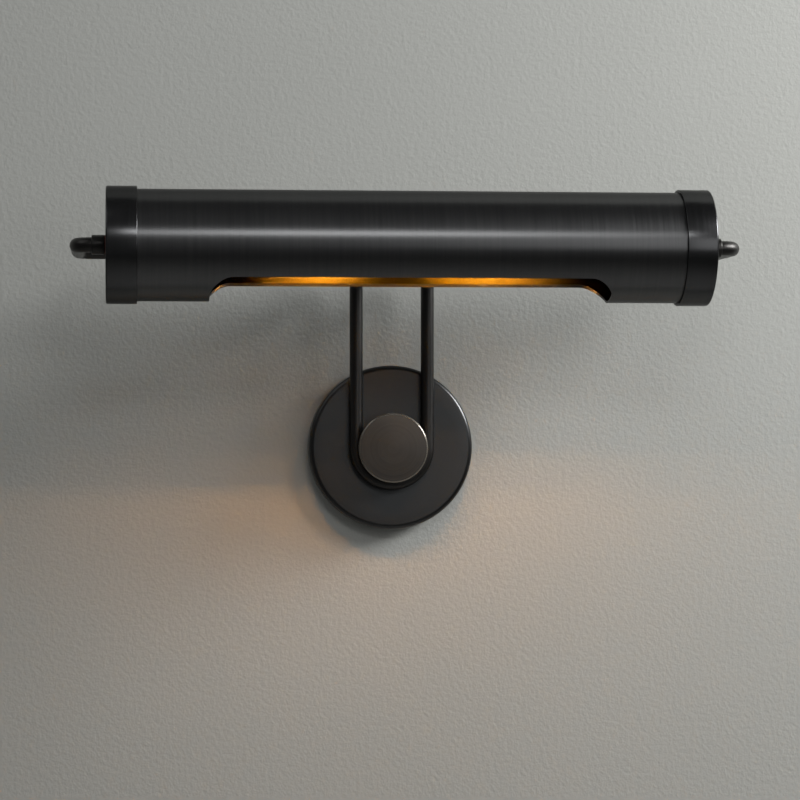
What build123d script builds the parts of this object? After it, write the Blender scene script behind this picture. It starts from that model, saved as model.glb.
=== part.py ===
from build123d import *
from math import asin, cos, degrees, radians, sin
import os

# Tube wall light.
#
# A round tube shade with a light slot in its underside turns between the two ends of a yoke.
# The yoke is carried by a hoop of thinner tube, whose half-circle bend lies on a round
# backplate and is clamped there by a knob on a centre stud.
#
# Frame: millimetres. The origin is the centre of the backplate on the wall plane, y = 0.
# +X is to the right as seen from the room, +Y goes into the wall and +Z is up.
# "Depth" means distance from the wall, so it is -y. Right-hand pieces are made first, and
# left-hand ones are their mirror images.

# ---------------------------------------------------------------- driving dimensions

# Shade
shade_reach = 125.0          # shade axis to the wall
shade_rise = 116.0           # shade axis above the backplate's centre
shade_length = 344.0         # over the outer faces of the end caps
tube_diameter = 63.5
tube_wall = 1.2
cap_wall = 1.5               # round the tube
cap_face = 2.0
cap_skirt = 17.5             # whole depth of the cap along the tube
cap_edge = 1.0               # rounding of the outer edge
slot_length = 228.0
slot_width = 48.4            # across the opening, measured straight over
slot_corner = 13.0
slot_lean = 3.65             # degrees that the slot is turned to the room from straight down

# Yoke and hoop
yoke_diameter = 8.5
yoke_wall = 1.0
yoke_bend = 8.0              # centreline radius
yoke_set_back = 71.5         # rear bar behind the shade axis
yoke_side_gap = 12.0         # inner side of the yoke's arm to the cap's face
hoop_diameter = 8.0
hoop_wall = 1.0
hoop_spacing = 43.4          # leg to leg, centre to centre
hoop_bend = 20.0             # centreline radius where the legs turn forward

# Backplate and clamp
plate_diameter = 100.0
plate_depth = 13.7
plate_wall = 2.0
plate_edge = 2.0
hub_recess = 0.5             # hub front below the hoop's front
washer_diameter = 40.0
washer_thickness = 1.2
knob_diameter = 42.0
knob_thickness = 6.0
knob_edge = 0.7
stud_diameter = 6.0
stud_in_knob = 4.2
standoff_diameter = 14.0
spanner_hole_diameter = 2.5
spanner_hole_depth = 2.0
swivel_limit = 10.0          # degrees each way

# Wall bracket and what sits on it
strap_length = 88.0
strap_width = 20.0
strap_thickness = 2.0
screw_slot_spacing = 60.0
screw_slot_length = 12.0
screw_slot_width = 5.0
lug_width = 30.0
lug_top = 40.0               # top of the lug above the centre
lug_corner = 3.0
cable_hole_diameter = 8.0
cable_hole_rise = 16.5
block_width = 27.0
block_height = 13.0
block_depth = 8.0
pole_pitch = 9.0
pole_count = 3
pole_screw_diameter = 3.2
pole_screw_length = 2.2
driver_slot_width = 0.6
driver_slot_depth = 0.8
fixing_diameter = 2.4
fixing_head_diameter = 4.2
fixing_head_height = 1.4
earth_offset = 16.5
earth_diameter = 4.0
earth_head_diameter = 7.5
earth_head_height = 2.6
earth_washer_diameter = 9.0
earth_washer_thickness = 0.8

# Leads and the bush that they pass through
supply_lead_diameter = 3.0
inner_lead_diameter = 2.4
bush_diameter = 6.0
bush_bore = 4.0
bush_stand_in = 1.0          # bush behind the plate's inner face

# Pivots
collar_diameter = 11.2
collar_length = 7.5
collar_edge = 0.5
collar_seat = 5.5            # yoke end inside the collar
nipple_bore = 4.2
fibre_diameter = 11.0
fibre_thickness = 0.5
pivot_washer_diameter = 16.0
pivot_washer_thickness = 1.2
spring_washer_diameter = 14.0
spring_washer_height = 1.0
spring_washer_sheet = 0.6
lock_nut_flats = 10.0
lock_nut_thickness = 4.0
nipple_stand_out = 1.5
stop_pin_diameter = 3.0
stop_pin_length = 3.0
stop_pin_root = 1.2
stop_pin_radius = 11.0       # pin to the shade axis
stop_tab_radius = 13.0
tilt_limit = 150.0           # degrees each way

# Lamps and lampholders
lamp_gap = 40.0              # between the tips of the two lamps
lamp_length = 85.0
lamp_diameter = 26.0
lamp_glass_wall = 0.8
lamp_shoulder = 8.0          # length over which the glass narrows to its neck
lamp_cap_length = 25.0
lamp_cap_diameter = 13.9
lamp_cap_flare = 17.0
lamp_cap_flare_length = 3.0
lamp_cap_wall = 0.5
lamp_contact_diameter = 5.0
lamp_contact_length = 4.0
neck_length = 5.0
filament_wire = 0.8
filament_length = 44.0
filament_width = 7.0
stem_diameter = 5.0
holder_diameter = 25.0
holder_length = 42.0
holder_lip = 1.0
holder_step = 14.0           # length of the narrower back part
holder_back_diameter = 20.0
holder_floor = 4.0           # holder behind the lamp's contact
shell_wall = 0.5
holder_nipple_diameter = 10.0
holder_nipple_bore = 6.0
holder_nipple_length = 9.0
holder_nut_flats = 14.0
holder_nut_thickness = 3.0
disc_sheet = 1.2
disc_flange = 6.0

# Clearances
fit_clearance = 0.1          # cap on tube
press_clearance = 0.05       # pieces pushed or screwed together
running_clearance = 0.08     # round the pivots
face_gap = 0.05              # flat faces that turn on each other
hoop_clearance = 0.3         # round rod beside a plate or hub
bush_clearance = 0.3         # bush in the plate's arc slot
lead_clearance = 0.5         # end of one lead to the next piece
braze_gap = 0.05             # hoop's coped ends to the yoke

# ---------------------------------------------------------------- derived sizes

tube_radius = tube_diameter / 2
tube_bore = tube_radius - tube_wall
cap_radius = tube_radius + fit_clearance + cap_wall
cap_out = shade_length / 2
cap_in = cap_out - cap_face

fibre_start = cap_out + face_gap
collar_start = fibre_start + fibre_thickness
collar_end = collar_start + collar_length
yoke_end = collar_end - collar_seat
yoke_radius = yoke_diameter / 2
yoke_bore = yoke_radius - yoke_wall
yoke_arm = cap_out + yoke_side_gap + yoke_radius
yoke_depth = shade_reach - yoke_set_back
nipple_radius = yoke_bore - press_clearance
pivot_washer_start = cap_in - face_gap
spring_start = pivot_washer_start - pivot_washer_thickness
lock_nut_start = spring_start - spring_washer_height
nipple_in = lock_nut_start - lock_nut_thickness - nipple_stand_out

hoop_radius = hoop_diameter / 2
hoop_bore = hoop_radius - hoop_wall
hoop_leg = hoop_spacing / 2
hoop_depth = plate_depth + hoop_clearance + hoop_radius
hoop_front = hoop_depth + hoop_radius
hub_radius = hoop_leg - hoop_radius - hoop_clearance
hub_front = hoop_front - hub_recess
washer_back = hoop_front + hoop_clearance
knob_back = washer_back + washer_thickness
stud_radius = stud_diameter / 2
plate_inner = plate_depth - plate_wall

block_bottom = lug_top - block_height
lead_depth = strap_thickness + supply_lead_diameter
bush_back = plate_inner - bush_stand_in
bush_front = hoop_depth - hoop_bore

lamp_tip = lamp_gap / 2
lamp_base = lamp_tip + lamp_length
lamp_cap_start = lamp_base - lamp_cap_length
holder_mouth = lamp_cap_start + lamp_cap_flare_length + lead_clearance
holder_back = holder_mouth + holder_length
neck_radius = lamp_cap_diameter / 2 - lamp_cap_wall - press_clearance
disc_back = holder_back + disc_sheet

shade_axis = Location((0, -shade_reach, shade_rise))
wall_plane = Plane.XZ        # its normal points into the room


# ---------------------------------------------------------------- helpers

def turned(*points):
    """A turned piece on the shade axis, from points of (x, radius)."""
    return revolve(make_face(Polyline(*points, close=True)), Axis.X)


def sleeve(x_start, x_end, outer, inner):
    """A plain ring on the shade axis."""
    return turned((x_start, inner), (x_end, inner), (x_end, outer), (x_start, outer))


def from_wall(sketch, near, far):
    """A sketch in (x, z) extruded between two depths from the wall."""
    return extrude(wall_plane.offset(near) * sketch, far - near)


def ring(outer, inner):
    return Circle(outer) - Circle(inner)


def hexagon(flats):
    return RegularPolygon(flats / 2, 6, major_radius=False)


def swept(section, path):
    """A section carried along a path from its start."""
    return sweep(Plane(origin=path @ 0, z_dir=path % 0) * section, path=path)


def on_shade(part):
    return shade_axis * part


def left_of(part):
    return mirror(part, about=Plane.YZ)


def save(name, *solids):
    """Write one node, whose solids may be several separate pieces."""
    pieces = [solid for part in solids for solid in part.solids()]
    shape = pieces[0] if len(pieces) == 1 else Compound(children=pieces)
    export_step(shape, f"parts/{name}.step")


def save_pair(name, part):
    save(f"{name}_right", part)
    save(f"{name}_left", left_of(part))


# ---------------------------------------------------------------- shade

def shade_tube():
    tube = sleeve(-cap_in, cap_in, tube_radius, tube_bore)
    opening = extrude(RectangleRounded(slot_length, slot_width, slot_corner), -tube_diameter)
    return tube - Rot(-slot_lean, 0, 0) * opening


def end_cap(pinned):
    """A cup over the tube's end. The pinned one has a blind hole for the stop pin."""
    hole = nipple_radius + running_clearance
    skirt_end = cap_out - cap_skirt
    seat = tube_radius + fit_clearance
    profile = make_face(Polyline((cap_in, hole), (cap_out, hole), (cap_out, cap_radius),
                                 (skirt_end, cap_radius), (skirt_end, seat), (cap_in, seat), close=True))
    corner = profile.vertices().sort_by_distance((cap_out, cap_radius))[0]
    cap = revolve(fillet(corner, cap_edge), Axis.X)
    if pinned:
        cap -= stop_pin()
    return cap


def stop_pin():
    """The pin stands at the bottom of the cap, opposite the tab of the stop washer."""
    pin = sleeve(cap_in - stop_pin_length, cap_in + stop_pin_root, stop_pin_diameter / 2, 0)
    return Pos(0, 0, -stop_pin_radius) * pin


def holder_disc():
    """A pressed dish inside the tube that carries one lampholder."""
    edge = tube_bore - press_clearance
    hole = holder_nipple_diameter / 2 + press_clearance
    flange_end = holder_back + disc_flange
    return turned((holder_back, hole), (holder_back, edge), (flange_end, edge),
                  (flange_end, edge - disc_sheet), (disc_back, edge - disc_sheet), (disc_back, hole))


def lampholder():
    """A candle holder: wide screw part, narrower back and a hollow nipple through the disc."""
    outer = holder_diameter / 2
    back = holder_back_diameter / 2
    bore = lamp_cap_diameter / 2 + shell_wall + 2 * press_clearance
    step = holder_back - holder_step
    floor = lamp_base + face_gap
    thread = holder_nipple_diameter / 2
    wire_way = holder_nipple_bore / 2
    nipple_end = holder_back + holder_nipple_length
    return turned((holder_mouth, bore), (holder_mouth, outer - holder_lip),
                  (holder_mouth + holder_lip, outer), (step, outer),
                  (step + outer - back, back), (holder_back, back),
                  (holder_back, thread), (nipple_end, thread), (nipple_end, wire_way),
                  (floor + holder_floor, wire_way), (floor + holder_floor, 0), (floor, 0), (floor, bore))


def holder_shell():
    """The threaded sleeve inside the holder that the lamp screws into."""
    inner = lamp_cap_diameter / 2 + press_clearance
    return sleeve(holder_mouth + holder_lip, lamp_base - lamp_contact_length, inner + shell_wall, inner)


def holder_nut():
    nut = extrude(Plane.YZ.offset(disc_back) * hexagon(holder_nut_flats), holder_nut_thickness)
    hole = holder_nipple_diameter / 2 + press_clearance
    return nut - sleeve(disc_back, disc_back + holder_nut_thickness, hole, 0)


def lamp_cap():
    """The screw cap of the lamp, with its flared rim and its contact at the far end."""
    outer = lamp_cap_diameter / 2
    inner = outer - lamp_cap_wall
    flare = lamp_cap_flare / 2
    contact = lamp_contact_diameter / 2
    shoulder = lamp_base - lamp_contact_length
    flare_end = lamp_cap_start + lamp_cap_flare_length
    return turned((lamp_cap_start, inner), (lamp_cap_start, flare), (flare_end, outer), (shoulder, outer),
                  (lamp_base, contact), (lamp_base, 0), (shoulder, 0), (shoulder, inner))


def lamp_glass():
    """A tubular bulb with a round end, open at the neck inside its cap."""
    outer = lamp_diameter / 2
    inner = outer - lamp_glass_wall
    neck_in = neck_radius - lamp_glass_wall
    centre = lamp_tip + outer
    shoulder = lamp_cap_start - lamp_shoulder
    neck_end = lamp_cap_start + neck_length
    outline = [Line((lamp_tip + lamp_glass_wall, 0), (lamp_tip, 0)),
               RadiusArc((lamp_tip, 0), (centre, outer), outer),
               Polyline((centre, outer), (shoulder, outer), (lamp_cap_start, neck_radius),
                        (neck_end, neck_radius), (neck_end, neck_in), (lamp_cap_start, neck_in),
                        (shoulder, inner), (centre, inner)),
               RadiusArc((centre, inner), (lamp_tip + lamp_glass_wall, 0), -inner)]
    return revolve(make_face(Curve() + outline), Axis.X)


def lamp_filament():
    """The stem from the lamp's neck and the hairpin of wire that glows."""
    stem_end = lamp_cap_start - lamp_shoulder
    stem = sleeve(stem_end, lamp_base - lamp_contact_length, stem_diameter / 2, 0)
    half = filament_width / 2
    far = stem_end - filament_length
    root = stem_diameter / 4
    corners = ((stem_end + root, -root, 0), (stem_end - root, -half, 0), (far, -half, 0),
               (far, half, 0), (stem_end - root, half, 0), (stem_end + root, root, 0))
    return stem + swept(Circle(filament_wire / 2), FilletPolyline(*corners, radius=root))


def shade_lead():
    """The lead from the pivot to the lampholder."""
    start = lamp_base + face_gap + holder_floor + lead_clearance
    return sleeve(start, nipple_in - lead_clearance, inner_lead_diameter / 2, 0)


# ---------------------------------------------------------------- pivots

def pivot_collar():
    nipple_hole = nipple_radius + press_clearance
    yoke_hole = yoke_radius + press_clearance
    outer = collar_diameter / 2
    return turned((collar_start, nipple_hole), (collar_start, outer - collar_edge),
                  (collar_start + collar_edge, outer), (collar_end - collar_edge, outer),
                  (collar_end, outer - collar_edge), (collar_end, yoke_hole),
                  (yoke_end, yoke_hole), (yoke_end, nipple_hole))


def pivot_nipple():
    """The hollow threaded pin in the yoke's end that the cap turns on."""
    return sleeve(nipple_in, collar_end, nipple_radius, nipple_bore / 2)


def fibre_washer():
    return sleeve(fibre_start, collar_start, fibre_diameter / 2, nipple_radius + press_clearance)


def pivot_washer():
    outer = pivot_washer_diameter / 2
    return sleeve(spring_start, pivot_washer_start, outer, nipple_radius + press_clearance)


def stop_washer():
    """A pivot washer with a tab at the top, which the stop pin meets at each end of the tilt."""
    pin_angle = degrees(asin(stop_pin_diameter / 2 / stop_pin_radius))
    gap_angle = degrees(hoop_clearance / stop_pin_radius)
    half = 180 - tilt_limit - pin_angle - gap_angle
    reach = 2 * stop_tab_radius
    side = (reach * sin(radians(half)), reach * cos(radians(half)))
    wedge = make_face(Polyline((0, 0), side, (-side[0], side[1]), close=True))
    tab = wedge & Circle(stop_tab_radius) - Circle(nipple_radius + press_clearance)
    return pivot_washer() + extrude(Plane.YZ.offset(spring_start) * tab, pivot_washer_thickness)


def spring_washer():
    """A cone-shaped washer that keeps the pivot tight."""
    inner = nipple_radius + press_clearance
    outer = spring_washer_diameter / 2
    rise = spring_washer_height - spring_washer_sheet
    return turned((lock_nut_start, inner), (lock_nut_start + rise, outer), (spring_start, outer),
                  (spring_start - rise, inner))


def lock_nut():
    nut = extrude(Plane.YZ.offset(lock_nut_start) * hexagon(lock_nut_flats), -lock_nut_thickness)
    return nut - sleeve(nipple_in, lock_nut_start, nipple_radius + press_clearance, 0)


# ---------------------------------------------------------------- yoke and hoop

def yoke_path():
    rear = -yoke_depth
    front = -shade_reach
    corners = [(yoke_end, front), (yoke_arm, front), (yoke_arm, rear),
               (-yoke_arm, rear), (-yoke_arm, front), (-yoke_end, front)]
    return FilletPolyline(*[(x, y, shade_rise) for x, y in corners], radius=yoke_bend)


def yoke():
    """One tube bent four times, with a wire hole where each leg of the hoop meets it."""
    bar = swept(ring(yoke_radius, yoke_bore), yoke_path())
    for x in (-hoop_leg, hoop_leg):
        bar -= from_wall(Pos(x, shade_rise) * Circle(hoop_bore), yoke_depth - yoke_radius, yoke_depth)
    return bar


def hoop_path():
    leg = hoop_leg
    start = yoke_depth
    turn = hoop_depth + hoop_bend
    low = shade_rise - hoop_bend
    right = [Line((leg, -start, shade_rise), (leg, -turn, shade_rise)),
             TangentArc((leg, -turn, shade_rise), (leg, -hoop_depth, low), tangent=(0, 1, 0)),
             Line((leg, -hoop_depth, low), (leg, -hoop_depth, 0))]
    bend = TangentArc((leg, -hoop_depth, 0), (-leg, -hoop_depth, 0), tangent=(0, 0, -1))
    left = [Line((-leg, -hoop_depth, 0), (-leg, -hoop_depth, low)),
            TangentArc((-leg, -hoop_depth, low), (-leg, -turn, shade_rise), tangent=(0, 0, 1)),
            Line((-leg, -turn, shade_rise), (-leg, -start, shade_rise))]
    return Wire(edges=[piece.edge() for piece in [*right, bend, *left]])


def hoop():
    """One tube: two legs, a half-circle bend at the knob, and ends coped to fit round the yoke."""
    tube = swept(ring(hoop_radius, hoop_bore), hoop_path())
    bar = Location((0, -yoke_depth, shade_rise)) * sleeve(-yoke_arm, yoke_arm, yoke_radius + braze_gap, 0)
    bush_hole = Pos(0, -hoop_leg) * Circle(bush_diameter / 2 + press_clearance)
    return tube - bar - from_wall(bush_hole, plate_depth, hoop_depth)


def wire_bush():
    """The hollow peg in the hoop's bend. It runs in the plate's arc slot and stops the swivel."""
    return from_wall(Pos(0, -hoop_leg) * ring(bush_diameter / 2, bush_bore / 2), bush_back, bush_front)


def arm_lead():
    """The lead inside the hoop's right leg and the right half of the yoke."""
    start = inner_lead_diameter / 4
    bend = hoop_leg - hoop_bore / 2
    tee = yoke_bore
    corners = [(start, -hoop_depth, -hoop_leg), (hoop_leg, -hoop_depth, -hoop_leg),
               (hoop_leg, -hoop_depth, shade_rise),
               (hoop_leg, -yoke_depth, shade_rise), (yoke_arm, -yoke_depth, shade_rise),
               (yoke_arm, -shade_reach, shade_rise), (nipple_in, -shade_reach, shade_rise)]
    radii = [bend, hoop_bend, tee, yoke_bend, yoke_bend]
    return swept(Circle(inner_lead_diameter / 2), FilletPolyline(*corners, radius=radii))


# ---------------------------------------------------------------- backplate and clamp

def backplate():
    """A turned cup with its open side on the wall and an arc slot for the bush."""
    outer = plate_diameter / 2
    inner = outer - plate_wall
    hole = stud_radius + running_clearance
    profile = make_face(Polyline((hole, -plate_inner), (inner, -plate_inner), (inner, 0), (outer, 0),
                                 (outer, -plate_depth), (hole, -plate_depth), close=True))
    corner = profile.vertices().sort_by_distance((outer, -plate_depth))[0]
    cup = revolve(fillet(corner, plate_edge), Axis.Y)
    arc = CenterArc((0, 0), hoop_leg, -90 - swivel_limit, 2 * swivel_limit)
    slot = SlotArc(arc, bush_diameter + 2 * bush_clearance)
    return cup - from_wall(slot, plate_inner, plate_depth)


def standoff():
    section = ring(standoff_diameter / 2, stud_radius + press_clearance)
    return from_wall(section, strap_thickness, plate_inner)


def centre_stud():
    return from_wall(Circle(stud_radius), 0, knob_back + stud_in_knob)


def hub():
    """A round nut that holds the backplate and centres the hoop's bend, with two spanner holes."""
    disc = from_wall(ring(hub_radius, stud_radius + press_clearance), plate_depth, hub_front)
    middle = (hub_radius + stud_radius) / 2
    for x in (-middle, middle):
        hole = Pos(x, 0) * Circle(spanner_hole_diameter / 2)
        disc -= from_wall(hole, hub_front - spanner_hole_depth, hub_front)
    return disc


def clamp_washer():
    hole = stud_radius + running_clearance
    return from_wall(ring(washer_diameter / 2, hole), washer_back, knob_back)


def clamp_knob():
    """A plain disc with a blind thread in its back and a small bevel round its front."""
    knob = from_wall(Circle(knob_diameter / 2), knob_back, knob_back + knob_thickness)
    rim = knob.edges().filter_by(GeomType.CIRCLE).sort_by(Axis.Y)[0]
    knob = chamfer(rim, knob_edge)
    bore_end = knob_back + stud_in_knob + face_gap
    return knob - from_wall(Circle(stud_radius + running_clearance), knob_back, bore_end)


# ---------------------------------------------------------------- wall bracket and wiring

def pole_places():
    first = -pole_pitch * (pole_count - 1) / 2
    return [first + pole_pitch * i for i in range(pole_count)]


def fixing_places():
    poles = pole_places()
    return [(a + b) / 2 for a, b in zip(poles, poles[1:])]


def wall_bracket():
    """A flat strap on the wall, with a lug above it for the terminal block."""
    lug = Pos(0, lug_top / 2) * RectangleRounded(lug_width, lug_top, lug_corner)
    outline = SlotOverall(strap_length, strap_width) + lug
    for x in (-screw_slot_spacing / 2, screw_slot_spacing / 2):
        outline -= Pos(x, 0) * SlotOverall(screw_slot_length, screw_slot_width)
    outline -= Circle(stud_radius + press_clearance)
    outline -= Pos(0, cable_hole_rise) * Circle(cable_hole_diameter / 2)
    outline -= Pos(-earth_offset, 0) * Circle(earth_diameter / 2 + press_clearance)
    for x in fixing_places():
        outline -= Pos(x, lug_top - block_height / 2) * Circle(fixing_diameter / 2 + press_clearance)
    return from_wall(outline, 0, strap_thickness)


def terminal_block():
    """Three poles side by side: a wire way down each, and a screw hole into it from the front."""
    middle = lug_top - block_height / 2
    front = strap_thickness + block_depth
    body = from_wall(Pos(0, middle) * Rectangle(block_width, block_height), strap_thickness, front)
    wire_hole = Circle(supply_lead_diameter / 2 + press_clearance)
    pole_hole = Circle(pole_screw_diameter / 2 + press_clearance)
    fixing_hole = Circle(fixing_diameter / 2 + press_clearance)
    way = extrude(Plane.XY.offset(block_bottom) * wire_hole, block_height)
    for x in pole_places():
        body -= Pos(x, -lead_depth, 0) * way
        body -= from_wall(Pos(x, middle) * pole_hole, lead_depth, front)
    for x in fixing_places():
        body -= from_wall(Pos(x, middle) * fixing_hole, strap_thickness, front)
    return body


def terminal_screws():
    front = strap_thickness + block_depth
    middle = lug_top - block_height / 2
    screws = []
    for x in pole_places():
        place = Pos(x, middle)
        shank = Circle(pole_screw_diameter / 2)
        cut = Rectangle(pole_screw_diameter, driver_slot_width)
        screw = from_wall(place * shank, front - pole_screw_length, front)
        screws.append(screw - from_wall(place * cut, front - driver_slot_depth, front))
    return screws


def block_screws():
    front = strap_thickness + block_depth
    middle = lug_top - block_height / 2
    screws = []
    for x in fixing_places():
        place = Pos(x, middle)
        shank = from_wall(place * Circle(fixing_diameter / 2), 0, front)
        head = Circle(fixing_head_diameter / 2)
        screws.append(shank + from_wall(place * head, front, front + fixing_head_height))
    return screws


def earth_screw():
    place = Pos(-earth_offset, 0)
    seat = strap_thickness + earth_washer_thickness
    front = seat + earth_head_height
    shank = from_wall(place * Circle(earth_diameter / 2), 0, seat)
    head = from_wall(place * Circle(earth_head_diameter / 2), seat, front)
    cut = place * Rectangle(earth_head_diameter, driver_slot_width)
    return shank + head - from_wall(cut, front - driver_slot_depth, front)


def earth_washer():
    washer = ring(earth_washer_diameter / 2, earth_diameter / 2 + press_clearance)
    front = strap_thickness + earth_washer_thickness
    return from_wall(Pos(-earth_offset, 0) * washer, strap_thickness, front)


def supply_lead():
    """The lead from the terminal block down to the back of the bush."""
    x = pole_places()[0]
    turn = -hoop_leg - x
    end = bush_back - lead_clearance
    corners = [(x, -lead_depth, block_bottom + supply_lead_diameter), (x, -lead_depth, turn),
               (0, -lead_depth, -hoop_leg), (0, -end, -hoop_leg)]
    last_bend = end - lead_depth - press_clearance
    route = FilletPolyline(*corners, radius=[2 * last_bend, last_bend])
    return swept(Circle(supply_lead_diameter / 2), route)


# ---------------------------------------------------------------- write every node

os.makedirs("parts", exist_ok=True)

save("shade_tube", on_shade(shade_tube()))
save("end_cap_right", on_shade(end_cap(pinned=False)))
save("end_cap_left", on_shade(left_of(end_cap(pinned=True))))
save("stop_pin", on_shade(left_of(stop_pin())))
for name, maker in (("holder_disc", holder_disc), ("lampholder", lampholder),
                    ("holder_shell", holder_shell), ("holder_nut", holder_nut),
                    ("lamp_cap", lamp_cap), ("lamp_glass", lamp_glass),
                    ("lamp_filament", lamp_filament), ("shade_lead", shade_lead),
                    ("pivot_collar", pivot_collar), ("pivot_nipple", pivot_nipple),
                    ("fibre_washer", fibre_washer), ("spring_washer", spring_washer),
                    ("lock_nut", lock_nut)):
    save_pair(name, on_shade(maker()))
save("pivot_washer", on_shade(pivot_washer()))
save("stop_washer", on_shade(left_of(stop_washer())))

save("yoke", yoke())
save("hoop", hoop())
save("wire_bush", wire_bush())
save_pair("arm_lead", arm_lead())

save("backplate", backplate())
save("standoff", standoff())
save("centre_stud", centre_stud())
save("hub", hub())
save("clamp_washer", clamp_washer())
save("clamp_knob", clamp_knob())

save("wall_bracket", wall_bracket())
save("terminal_block", terminal_block())
save("terminal_screws", *terminal_screws())
save("block_screws", *block_screws())
save("earth_screw", earth_screw())
save("earth_washer", earth_washer())
save("supply_lead", supply_lead())
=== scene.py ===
# %% [markdown]
# # A wall light with a tube shade
#
# This file dresses a wall light that was first made as solids. A round metal shade with a long
# slot in its underside hangs between the two ends of a bent rod, the yoke. A second bent rod, the
# hoop, carries the yoke and is clamped to a round backplate by a knob.
#
# The solids give every place and size. Here each piece that shows from the room is made again as a
# smooth surface, worked out with numpy from a formula, and gets a finish of its own. The solids
# could simply be painted, but their curves are cut into flat strips, and long reflections on dark
# brushed metal show every strip. The small pieces behind the plate and inside keep their solids
# and are painted.

# %% Load the frame
import math

import bmesh
import bpy
import numpy as np
from mathutils import Matrix, Vector


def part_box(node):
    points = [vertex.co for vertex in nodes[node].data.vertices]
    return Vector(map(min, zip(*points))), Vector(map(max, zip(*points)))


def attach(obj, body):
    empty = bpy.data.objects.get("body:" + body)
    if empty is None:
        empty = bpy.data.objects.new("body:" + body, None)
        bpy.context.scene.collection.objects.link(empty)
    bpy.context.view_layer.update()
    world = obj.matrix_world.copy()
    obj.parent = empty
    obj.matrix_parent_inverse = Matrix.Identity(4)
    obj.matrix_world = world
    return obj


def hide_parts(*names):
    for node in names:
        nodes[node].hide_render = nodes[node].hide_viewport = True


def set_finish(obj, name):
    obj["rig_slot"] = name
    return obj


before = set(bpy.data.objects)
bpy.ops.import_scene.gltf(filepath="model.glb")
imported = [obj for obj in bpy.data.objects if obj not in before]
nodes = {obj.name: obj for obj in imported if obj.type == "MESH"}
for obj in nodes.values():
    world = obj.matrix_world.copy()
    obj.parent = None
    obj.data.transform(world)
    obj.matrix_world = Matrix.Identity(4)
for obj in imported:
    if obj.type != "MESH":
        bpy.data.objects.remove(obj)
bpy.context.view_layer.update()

mm = 0.001

# %% [markdown]
# ## The sizes that pieces share
#
# A maker works from a short list of sizes. These are the ones that more than one piece needs,
# in millimetres from the middle of the backplate on the wall: x to the right, y into the wall and
# z up. They could be measured from the solids one by one, but a named list reads better, and each
# new piece is compared with the solid that it stands for as soon as it is made.

# %% Shared sizes
shade_y, shade_z = -125.0, 116.0     # the shade's axis
tube_radius, tube_bore = 31.75, 30.55
cap_outside, cap_inside = 172.0, 170.0
cap_radius = 33.35
rod_radius, rod_bore = 4.25, 3.25    # yoke
leg_radius, leg_bore = 4.0, 3.0      # hoop
yoke_y, yoke_arm = -53.5, 188.25
hoop_y, hoop_leg = -18.0, 21.7
print("the shade's axis is", -shade_y, "mm from the wall")

# %% [markdown]
# ## From a grid of points to a mesh
#
# Almost everything on this lamp is a surface of two parameters: along and around. A grid of points
# is worked out as one array, and these helpers turn it into a mesh. A sheet may close on itself in
# either direction. Where rows shrink to a single point on an axis, the doubles are merged so that
# the pole is closed, and the faces are then turned outwards.

# %% Grid helpers
sharp_edge = math.radians(32)


def finish_mesh(name, points, quads, uvs):
    """Puts points (n, 3) in mm and quads (m, 4) into an object at the origin, with a UV map whose
    u runs along the piece, merges double points, turns faces outwards and smooths all but the
    edges that bend by more than sharp_edge."""
    mesh = bpy.data.meshes.new(name)
    mesh.from_pydata(points * mm, [], quads)
    mesh.uv_layers.new(name="along").data.foreach_set("uv", uvs.astype(np.float32).ravel())
    work = bmesh.new()
    work.from_mesh(mesh)
    bmesh.ops.remove_doubles(work, verts=work.verts, dist=1e-7)
    bmesh.ops.recalc_face_normals(work, faces=work.faces)
    work.to_mesh(mesh)
    work.free()
    mesh.shade_smooth()
    mesh.set_sharp_from_angle(angle=sharp_edge)
    piece = bpy.data.objects.new(name, mesh)
    bpy.context.scene.collection.objects.link(piece)
    return piece


def cell_corners(rows, columns):
    """The four corners, as (row, column) pairs, of the cells whose first corners are given."""
    row = np.stack([rows, rows + 1, rows + 1, rows], axis=1)
    column = np.stack([columns, columns, columns + 1, columns + 1], axis=1)
    return row, column


def closed_grid(name, points):
    """A surface that closes on itself both ways: points is (rows, columns, 3), and the cell after
    the last row or column joins the first."""
    n, m = points.shape[:2]
    rows, columns = (a.ravel() for a in np.meshgrid(np.arange(n), np.arange(m), indexing="ij"))
    row, column = cell_corners(rows, columns)
    quads = (row % n) * m + column % m
    along = np.linalg.norm(np.diff(points[:, 0], axis=0, append=points[:1, 0]), axis=1).cumsum()
    along = np.concatenate([[0.0], along]) * mm
    uvs = np.stack([along[row], column / m], axis=-1)
    return finish_mesh(name, points.reshape(-1, 3), quads, uvs)


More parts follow.
